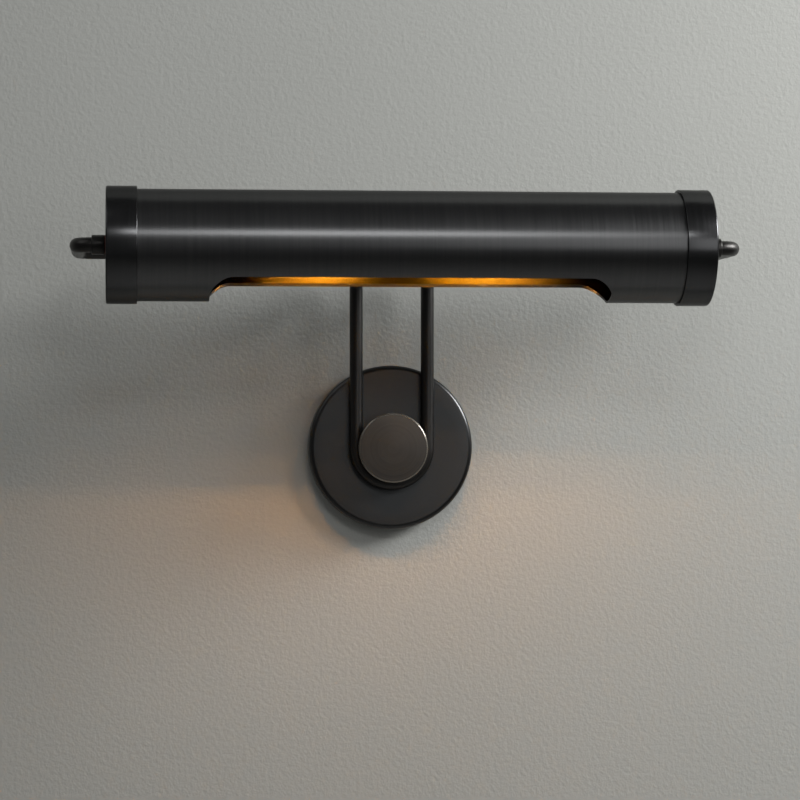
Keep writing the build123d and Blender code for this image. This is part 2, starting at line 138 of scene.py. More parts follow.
def shell(name, outside, inside, kept=None, around=None):
    """A wall between two surfaces on one grid, whose columns go once round. kept says which cells
    are there. Each kept cell gives a quad outside and one inside, and each of its sides that has
    no kept neighbour gives a quad that joins the two, so that the wall is closed all round its
    holes and ends. around is each point's share of the whole turn, where the columns bend."""
    n, m = outside.shape[:2]
    kept = np.ones((n - 1, m), bool) if kept is None else kept
    neighbours = np.pad(kept, 1, constant_values=False)
    neighbours[:, 0] = neighbours[:, -2]
    neighbours[:, -1] = neighbours[:, 1]
    faces, uvs = [], []
    along = np.linalg.norm(np.diff(outside[:, 0], axis=0), axis=1).cumsum()
    along = np.concatenate([[0.0], along]) * mm
    rows, columns = np.nonzero(kept)
    row, column = cell_corners(rows, columns)
    number = row * m + column % m
    share = column / m if around is None else around[row, column % m] + column // m
    uv = np.stack([along[row], share], axis=-1)
    faces += [number, number[:, ::-1] + n * m]
    uvs += [uv, uv[:, ::-1]]
    sides = (((1, 0), (0, 3)), ((-1, 0), (2, 1)), ((0, 1), (1, 0)), ((0, -1), (3, 2)))
    for (down, right), (a, b) in sides:
        missing = ~neighbours[1 - down:n - down, 1 - right:m + 1 - right]
        bare = np.nonzero((kept & missing)[kept])[0]
        faces.append(np.stack([number[bare, a], number[bare, b],
                               number[bare, b] + n * m, number[bare, a] + n * m], axis=1))
        uvs.append(uv[bare][:, [a, b, b, a]])
    points = np.concatenate([outside.reshape(-1, 3), inside.reshape(-1, 3)])
    return finish_mesh(name, points, np.concatenate(faces), np.concatenate(uvs))


def angles(count):
    """Angles of a whole turn in equal steps: 0, 1, 2, ... times 2 pi / count."""
    return np.arange(count) * 2 * math.pi / count


def rounded(corners, radii, steps=5):
    """A closed outline of (along, radius) whose corners are rounded: each corner is replaced by
    points on the arc of its radius that touches both sides."""
    corners = np.array(corners, float)
    out = []
    for i, radius in enumerate(radii):
        here = corners[i]
        if radius == 0:
            out.append(here[None])
            continue
        to_last, to_next = corners[i - 1] - here, corners[(i + 1) % len(corners)] - here
        to_last, to_next = to_last / np.linalg.norm(to_last), to_next / np.linalg.norm(to_next)
        half = math.acos(float(np.clip(to_last @ to_next, -1, 1))) / 2
        middle = to_last + to_next
        centre = here + middle / np.linalg.norm(middle) * radius / math.sin(half)
        start = here + to_last * radius / math.tan(half) - centre
        end = here + to_next * radius / math.tan(half) - centre
        turn = math.pi - 2 * half
        t = np.linspace(0, 1, steps + 1)[:, None]
        out.append(centre + (np.sin((1 - t) * turn) * start + np.sin(t * turn) * end) / math.sin(turn))
    return np.concatenate(out)


def turned(name, outline, axis, centre, count=128):
    """A lathe piece: each (along, radius) of a closed outline goes round the axis, so a point is
    centre + along x axis + radius x (cos a, sin a) in the plane across the axis."""
    a = angles(count)
    along, radius = outline[:, :1], outline[:, 1:]
    flat = np.zeros((len(outline), count))
    if axis == "x":
        spun = [along + flat, radius * np.cos(a), radius * np.sin(a)]
    else:
        spun = [radius * np.cos(a), along + flat, radius * np.sin(a)]
    return closed_grid(name, np.stack(spun, axis=-1) + np.array(centre))


def mirrored(outline):
    """The same outline for the left end of the shade."""
    return outline * np.array([-1.0, 1.0])


print("grid helpers ready")

# %% [markdown]
# ## Bodies, slots and a first measure
#
# A new piece has to move with the right body, stand for its solids and name the finish that it
# comes from. One helper does the three, and prints how far the new piece's box is from the box of
# its solids. That should be a few hundredths of a millimetre, but it is more for a hot wire and
# its glass stem, which are one solid together.

# %% Dress a solid
pieces = {}


def dress(piece, body, slot, *stands_for):
    """Ties a piece to its body, its finish and the solids that it stands for, and prints how far
    its box is from theirs: the greatest difference of any lower or upper corner coordinate."""
    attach(piece, body)
    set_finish(piece, slot)
    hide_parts(*stands_for)
    pieces[piece.name] = piece
    corners = np.array([v.co for v in piece.data.vertices])
    lows, highs = zip(*(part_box(node) for node in stands_for))
    low, high = np.min(lows, axis=0), np.max(highs, axis=0)
    off = max(np.abs(corners.min(0) - low).max(), np.abs(corners.max(0) - high).max()) / mm
    print(f"{piece.name}: {len(piece.data.polygons)} faces, {off:.2f} mm from its solids' box")
    return piece


# %% [markdown]
# ## The shade tube
#
# The real tube is sheet brass, rolled, soldered and turned bright before it is darkened. Its slot is
# a long rectangle with round corners, milled straight up into the tube and turned a few degrees
# to the room. The slot could be cut with a Boolean, which leaves thin triangles that spoil the
# reflections. Here the grid itself bends round the slot: its columns start and end at the slot's
# edge, so the edge is a line of the grid.

# %% Shade tube
slot_half, slot_across, slot_corner, slot_lean = 114.0, 24.2, 13.0, math.radians(3.65)


def slot_edge(x):
    """Half the slot's width at x: the full half width up to the corners, then less by
    corner - sqrt(corner^2 - distance into the corner^2)."""
    into = np.clip(np.abs(x) - (slot_half - slot_corner), 0, slot_corner)
    return slot_across - slot_corner + np.sqrt(slot_corner ** 2 - into ** 2)


corner_turn = np.sin(np.linspace(0, math.pi / 2, 15))
right_rows = np.concatenate([np.linspace(0, slot_half - slot_corner, 26)[1:],
                             slot_half - slot_corner + slot_corner * corner_turn[1:],
                             slot_half + (cap_inside - slot_half) * np.linspace(0, 1, 16)[1:]])
tube_rows = np.concatenate([-right_rows[::-1], [0.0], right_rows])
slot_columns, wall_columns = 24, 200


def tube_angles(radius):
    """Angles from the slot's middle. In a row at x the slot covers the angles up to
    asin(half width / radius), and the wall covers the rest."""
    edge = np.arcsin(slot_edge(tube_rows) / radius)[:, None]
    over_slot = edge * np.linspace(-1, 1, slot_columns + 1)
    over_wall = edge + (2 * math.pi - 2 * edge) * np.linspace(0, 1, wall_columns + 1)[1:-1]
    return np.concatenate([over_slot, over_wall], axis=1)


def tube_surface(radius):
    """Points of the tube at one radius, with the slot turned a little to the room."""
    angle = tube_angles(radius) + slot_lean
    x = np.broadcast_to(tube_rows[:, None], angle.shape)
    return np.stack([x, shade_y - radius * np.sin(angle), shade_z - radius * np.cos(angle)], axis=-1)


kept = np.ones((len(tube_rows) - 1, slot_columns + wall_columns), bool)
middle_rows = np.abs((tube_rows[1:] + tube_rows[:-1]) / 2) < slot_half
kept[middle_rows, :slot_columns] = False
shade = shell("shade", tube_surface(tube_radius), tube_surface(tube_bore), kept,
              around=tube_angles(tube_radius) / (2 * math.pi))
dress(shade, "shade", "shade_metal", "shade_tube")

# %% [markdown]
# A cut edge is never quite sharp: the maker runs a file along it. A Bevel of a fifth of a
# millimetre catches the thin line of light that shows along the slot.

# %% Eased edges
bevel = shade.modifiers.new("eased edges", "BEVEL")
bevel.width = 0.2 * mm
bevel.segments = 2
bevel.limit_method = "ANGLE"
bevel.angle_limit = math.radians(50)
bevel.harden_normals = True
print("edges eased by", round(bevel.width / mm, 2), "mm")

# %% [markdown]
# ## End caps
#
# Each cap is a turned cup that slips over the tube. Its skirt ends in a small step and a bright
# edge, where the lathe tool left the metal thin. A cap could be a cylinder with a bevel, but the
# step and the round outer edge are what the light picks out, so the outline is drawn in full and
# goes round the axis.

# %% End caps
skirt_start, cap_seat, cap_hole = 154.5, 31.85, 3.28
cap_outline = rounded([(cap_inside, cap_hole), (cap_outside, cap_hole), (cap_outside, cap_radius),
                       (skirt_start, cap_radius), (skirt_start, cap_seat), (cap_inside, cap_seat)],
                      [0.15, 0.3, 1.0, 0.35, 0.15, 0.3], steps=6)
for side, outline in (("right", cap_outline), ("left", mirrored(cap_outline))):
    cap = turned(f"cap_{side}", outline, "x", (0, shade_y, shade_z), count=192)
    dress(cap, "shade", "shade_metal", f"end_cap_{side}")

# %% [markdown]
# ## Bent rods
#
# Yoke and hoop are tubes bent on a former: straight runs and arcs of a circle. A bevelled curve
# would do, but its rings bunch up at the corners. Here the middle line is written down as runs and
# arcs with their directions, and each ring stands square to it.

# %% Runs, arcs and pipes
def run(a, b, count=2):
    """Points and directions on the straight line from a to b."""
    a, b = np.array(a, float), np.array(b, float)
    t = np.linspace(0, 1, count)[:, None]
    way = (b - a) / np.linalg.norm(b - a)
    return a + t * (b - a), np.broadcast_to(way, (count, 3))


def arc(centre, start, heading, radius, turn, count=14):
    """Points centre + radius x (cos t start + sin t heading), and the directions along them."""
    centre, start, heading = (np.array(v, float) for v in (centre, start, heading))
    t = np.linspace(0, turn, count)[:, None]
    return (centre + radius * (np.cos(t) * start + np.sin(t) * heading),
            np.cos(t) * heading - np.sin(t) * start)


def join(*parts):
    """One line from several, leaving out the point that two neighbours share."""
    points, ways = zip(*parts)
    points = [p if i == 0 else p[1:] for i, p in enumerate(points)]
    ways = [w if i == 0 else w[1:] for i, w in enumerate(ways)]
    return np.concatenate(points), np.concatenate(ways)


def rings(points, ways, side, radius, count):
    """A ring square to the line at each point: point + radius x (cos a side + sin a (way x side))."""
    a = angles(count)[None, :, None]
    other = np.cross(ways, side)[:, None]
    return points[:, None] + radius * (np.cos(a) * side[:, None] + np.sin(a) * other)


print("pipes ready")

# %% Yoke
yoke_bend, yoke_end = 8.0, 174.55
across, down_the_arm = np.array([1.0, 0, 0]), np.array([0, -1.0, 0])
back_y, right_x = yoke_y - yoke_bend, yoke_arm - yoke_bend
yoke_points, yoke_ways = join(
    run((-yoke_end, shade_y, shade_z), (-right_x, shade_y, shade_z), 3),
    arc((-right_x, shade_y + yoke_bend, shade_z), down_the_arm, -across, yoke_bend, math.pi / 2),
    run((-yoke_arm, shade_y + yoke_bend, shade_z), (-yoke_arm, back_y, shade_z), 12),
    arc((-right_x, back_y, shade_z), -across, -down_the_arm, yoke_bend, math.pi / 2),
    run((-right_x, yoke_y, shade_z), (right_x, yoke_y, shade_z), 60),
    arc((right_x, back_y, shade_z), -down_the_arm, across, yoke_bend, math.pi / 2),
    run((yoke_arm, back_y, shade_z), (yoke_arm, shade_y + yoke_bend, shade_z), 12),
    arc((right_x, shade_y + yoke_bend, shade_z), across, down_the_arm, yoke_bend, math.pi / 2),
    run((right_x, shade_y, shade_z), (yoke_end, shade_y, shade_z), 3))
up = np.broadcast_to(np.array([0, 0, 1.0]), yoke_points.shape)
yoke_rod = shell("yoke_rod", rings(yoke_points, yoke_ways, up, rod_radius, 64),
                 rings(yoke_points, yoke_ways, up, rod_bore, 64))
dress(yoke_rod, "arm", "rod_metal", "yoke")

# %% [markdown]
# The hoop starts at the yoke, runs back to the wall, turns down, goes once round the knob and
# comes back the same way. Its two ends are filed to fit round the yoke. A welder calls such an end
# coped. The last ring is moved along its rod until each point lies on the yoke, at the distance
# sqrt(yoke radius^2 - height^2) from the yoke's axis.

# %% Hoop
hoop_bend, braze_gap = 20.0, 0.05
bend_y, low_z = hoop_y - hoop_bend, shade_z - hoop_bend
wall_way = np.array([0, 1.0, 0])
down = np.array([0, 0, -1.0])
hoop_points, hoop_ways = join(
    run((hoop_leg, yoke_y, shade_z), (hoop_leg, bend_y, shade_z), 6),
    arc((hoop_leg, bend_y, low_z), -down, wall_way, hoop_bend, math.pi / 2, 24),
    run((hoop_leg, hoop_y, low_z), (hoop_leg, hoop_y, 0), 24),
    arc((0, hoop_y, 0), across, down, hoop_leg, math.pi, 72),
    run((-hoop_leg, hoop_y, 0), (-hoop_leg, hoop_y, low_z), 24),
    arc((-hoop_leg, bend_y, low_z), wall_way, -down, hoop_bend, math.pi / 2, 24),
    run((-hoop_leg, bend_y, shade_z), (-hoop_leg, yoke_y, shade_z), 6))
# Each ring starts on the side away from the knob, which turns with the rod in the half circle.
in_bend = (hoop_points[:, 2] < 0)[:, None]
outward = hoop_points * np.array([1, 0, 1]) / hoop_leg
sideways = np.where(in_bend, outward, np.sign(hoop_points[:, :1]) * across)


def coped(grid):
    """Moves the first and last ring onto the yoke's surface."""
    grid = grid.copy()
    for end in (0, -1):
        height = np.clip(np.abs(grid[end, :, 2] - shade_z), 0, rod_radius)
        reach = np.sqrt((rod_radius + braze_gap) ** 2 - height ** 2)
        grid[end, :, 1] = yoke_y + reach
    return grid


hoop_rod = shell("hoop_rod", coped(rings(hoop_points, hoop_ways, sideways, leg_radius, 64)),
                 coped(rings(hoop_points, hoop_ways, sideways, leg_bore, 64)))
dress(hoop_rod, "arm", "rod_metal", "hoop")

# %% [markdown]
# ## Collars
#
# A short turned collar sits between each end of the yoke and its cap. It hides the hollow screw
# that the shade turns on.

# %% Collars
collar_start, collar_end, collar_radius = 172.55, 180.05, 5.6
screw_hole, yoke_seat, seat_depth = 3.25, 4.3, 5.5
seat_floor = collar_end - seat_depth
collar_outline = rounded([(collar_start, screw_hole), (seat_floor, screw_hole), (seat_floor, yoke_seat),
                          (collar_end, yoke_seat), (collar_end, collar_radius),
                          (collar_start, collar_radius)], [0, 0, 0, 0.25, 0.6, 0.6])
for side, outline in (("right", collar_outline), ("left", mirrored(collar_outline))):
    collar = turned(f"collar_{side}", outline, "x", (0, shade_y, shade_z), count=96)
    dress(collar, "arm", "rod_metal", f"pivot_collar_{side}")

# %% [markdown]
# ## Backplate
#
# The plate is a shallow turned cup with its open side on the wall, a round edge and a curved slot
# behind the hoop's bend, where the leads go in. The same shell helper makes it: its rows run from
# the centre hole out over the face and down the wall, and the cells of the slot are left out.

# %% Backplate
plate_radius, plate_front, plate_sheet, plate_edge = 50.0, -13.7, 2.0, 3.2
stud_hole, bush_reach, swivel = 3.08, 3.3, math.radians(10)
plate_columns = 180
column_angle = 2 * math.pi / plate_columns
edge_start = plate_radius - plate_edge
turn_steps = np.linspace(0, math.pi / 2, 9)[1:]
face_radii = np.array([stud_hole, 10.0, hoop_leg - bush_reach, hoop_leg + bush_reach, 34.0, 40.0,
                       edge_start])
foot = 0.15                          # the edge on the wall is eased by this
outline_out = np.concatenate([
    np.stack([face_radii, np.full(len(face_radii), plate_front)], axis=1),
    np.stack([edge_start + plate_edge * np.sin(turn_steps),
              plate_front + plate_edge * (1 - np.cos(turn_steps))], axis=1),
    [[plate_radius, -8.0], [plate_radius, -3.0], [plate_radius, -2 * foot], [plate_radius - foot, 0.0]]])
outline_in = np.stack([np.minimum(outline_out[:, 0], plate_radius - plate_sheet),
                       np.maximum(outline_out[:, 1], plate_front + plate_sheet)], axis=1)

# The slot is the third row of cells, as wide as the bush and the hoop's swing both ways.
bush_angle = 2 * math.asin(bush_reach / hoop_leg)
bush_row, bush_columns = 2, math.ceil((2 * swivel + bush_angle) / column_angle)
kept = np.ones((len(outline_out) - 1, plate_columns), bool)
kept[bush_row, :bush_columns] = False
a = angles(plate_columns) - math.pi / 2 - bush_columns * column_angle / 2
turned_out, turned_in = (
    np.stack([o[:, :1] * np.cos(a), np.broadcast_to(o[:, 1:], (len(o), plate_columns)),
              o[:, :1] * np.sin(a)], axis=-1) for o in (outline_out, outline_in))
plate = shell("plate", turned_out, turned_in, kept)
dress(plate, "wall_mount", "plate_metal", "backplate")

# %% [markdown]
# ## Clamp
#
# Inside the bend sits a hub, a round nut that holds the plate. A washer and the knob go over it on
# one screw, and the knob squeezes the hoop between washer and plate. The knob is a plain disc
# with a small polished bevel.

# %% Hub, washer and knob
hub_front, hub_radius, hub_thread = -21.5, 17.4, 3.05
washer_back, washer_front, washer_radius = -22.3, -23.5, 20.0
stud_end, knob_front, knob_radius, knob_bevel = -27.75, -29.5, 21.0, 0.7
hub_outline = rounded([(plate_front, hub_thread), (hub_front, hub_thread), (hub_front, hub_radius),
                       (plate_front, hub_radius)], [0, 0.2, 0.5, 0.2])
washer_outline = rounded([(washer_back, stud_hole), (washer_front, stud_hole),
                          (washer_front, washer_radius), (washer_back, washer_radius)],
                         [0, 0.1, 0.25, 0.25])
knob_outline = rounded([(washer_front, stud_hole), (stud_end, stud_hole), (stud_end, 0), (knob_front, 0),
                        (knob_front, knob_radius - knob_bevel), (knob_front + knob_bevel, knob_radius),
                        (washer_front, knob_radius)], [0, 0, 0, 0, 0.12, 0.12, 0.3], steps=3)
hub_nut = turned("hub_nut", hub_outline, "y", (0, 0, 0))
dress(hub_nut, "wall_mount", "zinc_steel", "hub")
washer = turned("clamping_washer", washer_outline, "y", (0, 0, 0), 160)
dress(washer, "clamp_washer", "zinc_steel", "clamp_washer")
knob = turned("knob_disc", knob_outline, "y", (0, 0, 0), 192)
dress(knob, "knob", "knob_metal", "clamp_knob")

# %% [markdown]
# ## Lamps
#
# Two clear tubular lamps point at each other inside the shade, each with a round end, a neck that
# goes into its screw cap, and a hairpin of wire that glows. The glass is one thin turned wall. The
# hairpin is the real light here: a bent wire that shines, rather than a lamp object in its place,
# so the warm bands on the inside of the tube come out about as long as the wire is.

# %% Lamp glass
lamp_tip, glass_radius, glass_wall = 20.0, 13.0, 0.8
shoulder_start, shoulder_length, neck_radius, neck_length = 72.0, 8.0, 6.4, 5.0
cap_start = shoulder_start + shoulder_length
bulb_end = lamp_tip + glass_radius


def glass_side(radius, neck, backwards):
    """From the tip: x = bulb end - radius x cos t, distance from the axis = radius x sin t, then
    the straight side, a shoulder in the shape of half a cosine wave, and the neck."""
    t = np.linspace(0, math.pi / 2, 20)
    s = np.linspace(0, 1, 12)
    shoulder = neck + (radius - neck) * (1 + np.cos(math.pi * s)) / 2
    line = np.concatenate([
        np.stack([bulb_end - radius * np.cos(t), radius * np.sin(t)], axis=1),
        np.stack([shoulder_start + shoulder_length * s, shoulder], axis=1),
        [[cap_start + neck_length, neck]]])
    return line[::-1] if backwards else line


glass_outline = np.concatenate([glass_side(glass_radius, neck_radius, False),
                                glass_side(glass_radius - glass_wall, neck_radius - glass_wall, True)])
for side, outline in (("right", glass_outline), ("left", mirrored(glass_outline))):
    bulb = turned(f"bulb_{side}", outline, "x", (0, shade_y, shade_z), count=64)
    dress(bulb, "shade", "lamp_glass", f"lamp_glass_{side}")

# %% [markdown]
# No two lamps hold their wire in quite the same place. The right one sits 5 mm further out, and
# the left one has sagged off its axis. Both were set by the warm light on tube and wall.

# %% Filament and stem
wire_radius, wire_bore, wire_gap, wire_run, wire_turn = 0.4, 0.2, 3.5, 40.5, math.radians(45)
wire_far = {"right": 33.0, "left": 28.0}
wire_sag = {"right": np.zeros(3), "left": np.array([0, 2.2, 2.2])}
stem_start, stem_end, stem_radius = 69.0, 93.0, 2.5


def hairpin(sign, far, sag):
    """The glowing wire: out along the front side, round a half circle at the far end, and back.
    Lamps are screwed in and stop at any angle, so the hairpin's plane is turned up in front."""
    way = np.array([-sign * 1.0, 0, 0])
    front = np.array([0, -math.cos(wire_turn), math.sin(wire_turn)])
    centre = np.array([sign * (far + wire_gap), shade_y, shade_z]) + sag
    near, far_side = centre + front * wire_gap, centre - front * wire_gap
    out = run(near - way * wire_run, near, 40)
    end = arc(centre, front, way, wire_gap, math.pi, 20)
    back = run(far_side, far_side - way * wire_run, 40)
    return join(out, end, back), np.cross(way, front)


for side, sign in (("right", 1), ("left", -1)):
    (points, ways), up = hairpin(sign, wire_far[side], wire_sag[side])
    up = np.broadcast_to(up, points.shape)
    wire = shell(f"hot_wire_{side}", rings(points, ways, up, wire_radius, 12),
                 rings(points, ways, up, wire_bore, 12))
    start, end = sign * stem_start, sign * stem_end
    stem_outline = rounded([(start, 0), (end, 0), (end, stem_radius), (start, stem_radius)],
                           [0, 0, 0, 1.0])
    stem = turned(f"stem_{side}", stem_outline, "x", (0, shade_y, shade_z), count=32)
    dress(wire, "shade", "filament", f"lamp_filament_{side}")
    dress(stem, "shade", "lamp_glass", f"lamp_filament_{side}")

# %% Lampholders and lamp caps
holder_outline = rounded([(83.5, 7.55), (83.5, 11.5), (84.5, 12.5), (111.5, 12.5), (114.0, 10.0),
                          (125.5, 10.0), (125.5, 5.0), (134.5, 5.0), (134.5, 3.0), (109.05, 3.0),
                          (109.05, 0), (105.05, 0), (105.05, 7.55)],
                         [0.2, 0.3, 0.3, 0.4, 0.4, 0.4, 0, 0.3, 0, 0, 0, 0, 0])
thread_start, thread_end, thread_pitch, thread_radius, thread_height = 83.0, 100.5, 2.82, 6.75, 0.2
thread_x = np.linspace(thread_start, thread_end, 141)
thread = thread_radius + thread_height * np.cos((thread_x - thread_start) / thread_pitch * 2 * math.pi)
lip, shell_end, shell_bore, contact_end = 8.5, 101.0, 5.9, 105.0
cap_out = np.concatenate([[(cap_start, lip), (cap_start + 0.4, lip)], np.stack([thread_x, thread], axis=1),
                          [(shell_end, 6.4), (contact_end - 0.4, 2.7), (contact_end, 2.2),
                           (contact_end, 0), (shell_end, 0), (shell_end, shell_bore),
                           (thread_start, shell_bore), (cap_start, 6.45)]])
for side, turn_round in (("right", lambda o: o), ("left", mirrored)):
    holder = turned(f"candle_holder_{side}", turn_round(holder_outline), "x", (0, shade_y, shade_z), 64)
    dress(holder, "shade", "holder_moulding", f"lampholder_{side}")
    screw = turned(f"lamp_screw_{side}", turn_round(cap_out), "x", (0, shade_y, shade_z), 64)
    dress(screw, "shade", "lamp_cap_metal", f"lamp_cap_{side}")

# %% [markdown]
# ## Finishes
#
# A finish is more than a colour. The dark metal here is brushed round the tube, so it spreads a
# light sideways into one long band, and its brush lines show as fine changes in roughness. All
# patterns read the piece's own place (Object coordinates), so they stay on the piece when it
# moves. The direction of the brushing comes from the UV map that each grid carries.

# %% Node helpers
class Finish:
    """A material with a Principled shader, and short ways to add and join nodes."""

    def __init__(self, name):
        self.material = bpy.data.materials.new(name)
        self.material.use_nodes = True
        self.tree = self.material.node_tree
        self.shader = self.tree.nodes["Principled BSDF"]
        self.coordinates = self.add("ShaderNodeTexCoord").outputs["Object"]

    def add(self, kind, **settings):
        node = self.tree.nodes.new(kind)
        for key, value in settings.items():
            if key in node.inputs:
                node.inputs[key].default_value = value
            else:
                setattr(node, key, value)
        return node

    def join(self, output, socket):
        self.tree.links.new(output, socket)

    def set(self, **values):
        for key, value in values.items():
            self.shader.inputs[key.replace("_", " ")].default_value = value

    def maths(self, operation, a, b=None):
        node = self.add("ShaderNodeMath", operation=operation)
        for socket, value in zip(node.inputs, (a, b)):
            if isinstance(value, (int, float)):
                socket.default_value = value
            elif value is not None:
                self.join(value, socket)
        return node.outputs[0]

    def measured_from(self, centre):
        """The place on the piece, measured from a centre."""
        shift = self.add("ShaderNodeVectorMath", operation="SUBTRACT")
        self.join(self.coordinates, shift.inputs[0])
        shift.inputs[1].default_value = centre
        return shift.outputs[0]

    def parted(self, place):
        """The x, y and z of a place, as three values."""
        parts = self.add("ShaderNodeSeparateXYZ")
        self.join(place, parts.inputs[0])
        return parts.outputs

    def length(self, a, b):
        """sqrt(a^2 + b^2)."""
        squares = [self.maths("MULTIPLY", s, s) for s in (a, b)]
        return self.maths("SQRT", self.maths("ADD", *squares))

    def noise(self, vector, scale, detail=2.0, roughness=0.5):
        node = self.add("ShaderNodeTexNoise")
        self.join(vector, node.inputs["Vector"])
        for key, value in (("Scale", scale), ("Detail", detail), ("Roughness", roughness)):
            node.inputs[key].default_value = value
        return node.outputs["Fac"]

    def ramp(self, value, low, high, start=0.0, end=1.0):
        """value between start and end becomes a number between low and high."""
        node = self.add("ShaderNodeMapRange")
        self.join(value, node.inputs["Value"])
        for key, number in (("From Min", start), ("From Max", end), ("To Min", low), ("To Max", high)):
            node.inputs[key].default_value = number
        return node.outputs["Result"]

    def blend(self, value, first, second):
        """A colour between two, by value."""
        node = self.add("ShaderNodeMix", data_type="RGBA")
        self.join(value, node.inputs["Factor"])
        for socket, colour in (("A", first), ("B", second)):
            target = [s for s in node.inputs if s.name == socket and s.type == "RGBA"][0]
            if isinstance(colour, tuple):
                target.default_value = (*colour, 1.0)
            else:
                self.join(colour, target)
        return [s for s in node.outputs if s.type == "RGBA"][0]

    def bump(self, height, distance, strength=1.0):
        node = self.add("ShaderNodeBump")
        self.join(height, node.inputs["Height"])
        node.inputs["Distance"].default_value = distance
        node.inputs["Strength"].default_value = strength
        self.join(node.outputs["Normal"], self.shader.inputs["Normal"])

    def grain_along(self):
        """The brushed highlight spreads along the UV map's u."""
        node = self.add("ShaderNodeTangent", direction_type="UV_MAP", uv_map="along")
        self.join(node.outputs["Tangent"], self.shader.inputs["Tangent"])


print("node helpers ready")

# %% [markdown]
# Brush lines round a turned piece are the same all the way round: they depend only on the place
# along the axis and on the distance from it. So the lines are a noise of those two numbers, with a
# very slow change around the piece, and one formula serves the side of a cap and its flat face. The
# caps are darker than the tube and a little smoother, so their highlight is as bright but narrower.

# %% Turned metal
def lathe_lines(finish, axis, centre, fine, slow=22.0):
    """Noise of (place along the axis, distance from the axis, a little of the angle)."""
    x, y, z = finish.parted(finish.measured_from(centre))
    along, flat = (x, (y, z)) if axis == "x" else (y, (x, z))
    rows = finish.add("ShaderNodeCombineXYZ")
    scaled = ((along, fine), (finish.length(*flat), fine), (flat[1], slow))
    for socket, (value, scale) in zip(rows.inputs, scaled):
        finish.join(finish.maths("MULTIPLY", value, scale), socket)
    return finish.noise(rows.outputs[0], 1.0, detail=3.0, roughness=0.6)


def brushed(name, axis, centre, dark, light, rough, spread, fine=900.0):
    """Metal between two colours and two roughnesses, brushed round its axis."""
    finish = Finish(name)
    lines = lathe_lines(finish, axis, centre, fine)
    patches = finish.noise(finish.coordinates, 18.0, detail=2.0)
    tone = finish.maths("ADD", finish.maths("MULTIPLY", lines, 0.6), finish.maths("MULTIPLY", patches, 0.4))
    colour = finish.blend(finish.ramp(tone, 0, 1, 0.3, 0.7), dark, light)
    finish.join(colour, finish.shader.inputs["Base Color"])
    finish.join(finish.ramp(lines, rough[0], rough[1], 0.3, 0.7), finish.shader.inputs["Roughness"])
    finish.set(Metallic=1.0, Anisotropic=spread)
    finish.bump(lines, 0.000004)
    finish.grain_along()
    return finish


axis_point = (0, shade_y * mm, shade_z * mm)
outer_metal = brushed("dark brushed metal", "x", axis_point, (0.100, 0.101, 0.103), (0.122, 0.123, 0.125),
                      (0.276, 0.312), 0.5)
gilt = brushed("satin gilt inside", "x", axis_point, (0.52, 0.45, 0.115), (0.58, 0.50, 0.130),
               (0.24, 0.26), 0.0)
cap_metal = brushed("darker cap metal", "x", axis_point, (0.072, 0.073, 0.075), (0.088, 0.089, 0.091),
                    (0.230, 0.260), 0.5)
for dark_metal in (outer_metal, cap_metal):
    dark_metal.set(Specular_Tint=(0.5, 0.5, 0.5, 1.0))
knob_metal = brushed("knob bronze", "y", (0, 0, 0), (0.073, 0.071, 0.067), (0.102, 0.100, 0.095),
                     (0.38, 0.46), 0.15, fine=1400.0)


def painted_lamp_light_on_gilt(finish, dark):
    """Painted light and shade on the gilding: it is painted bright beside each lamp, where the lamps light
    it, and dark between the lamps and towards the ends, where shade falls. Its share is one ramp of the
    distance |x + 4 mm|, up from 0.25 in the middle, times one of |x - 6 mm|, down to 0 at the ends."""
    x = finish.parted(finish.coordinates)[0]
    near = finish.ramp(finish.maths("ABSOLUTE", finish.maths("ADD", x, 4 * mm)), 0.25, 1, 9 * mm, 27 * mm)
    far = finish.ramp(finish.maths("ABSOLUTE", finish.maths("SUBTRACT", x, 6 * mm)), 1, 0, 58 * mm, 101 * mm)
    colour = finish.shader.inputs["Base Color"].links[0].from_socket
    finish.join(finish.blend(finish.maths("MULTIPLY", near, far), dark, colour),
                finish.shader.inputs["Base Color"])


# Painted shade: this dark colour takes over the gilding between the lamps and beyond them, where their light
# falls off.
painted_lamp_light_on_gilt(gilt, (0.03, 0.022, 0.012))
print("turned metals:", *(m.material.name for m in (outer_metal, gilt, cap_metal, knob_metal)))

# %% Rod, plate and plain metals
def plain_metal(name, dark, light, rough, grain=400.0, depth=0.000004):
    """Metal with a fine even grain: soft patches in its colour, and a noise in its roughness."""
    finish = Finish(name)
    grains = finish.noise(finish.coordinates, grain, detail=3.0)
    patches = finish.noise(finish.coordinates, 30.0)
    finish.join(finish.blend(patches, dark, light), finish.shader.inputs["Base Color"])
    finish.join(finish.ramp(grains, rough[0], rough[1], 0.3, 0.7), finish.shader.inputs["Roughness"])
    finish.set(Metallic=1.0)
    finish.bump(grains, depth)
    return finish


rod_metal = plain_metal("dark rod metal", (0.045, 0.044, 0.043), (0.060, 0.058, 0.056), (0.34, 0.42))
plate_metal = plain_metal("plate metal", (0.068, 0.071, 0.073), (0.080, 0.083, 0.085), (0.42, 0.50),
                          grain=900.0)
zinc = plain_metal("zinc plated steel", (0.42, 0.43, 0.44), (0.55, 0.56, 0.57), (0.26, 0.36))
brass = plain_metal("brass", (0.60, 0.40, 0.16), (0.72, 0.50, 0.22), (0.24, 0.34))
screw_metal = plain_metal("bright lamp cap", (0.62, 0.62, 0.60), (0.74, 0.73, 0.71), (0.22, 0.30))


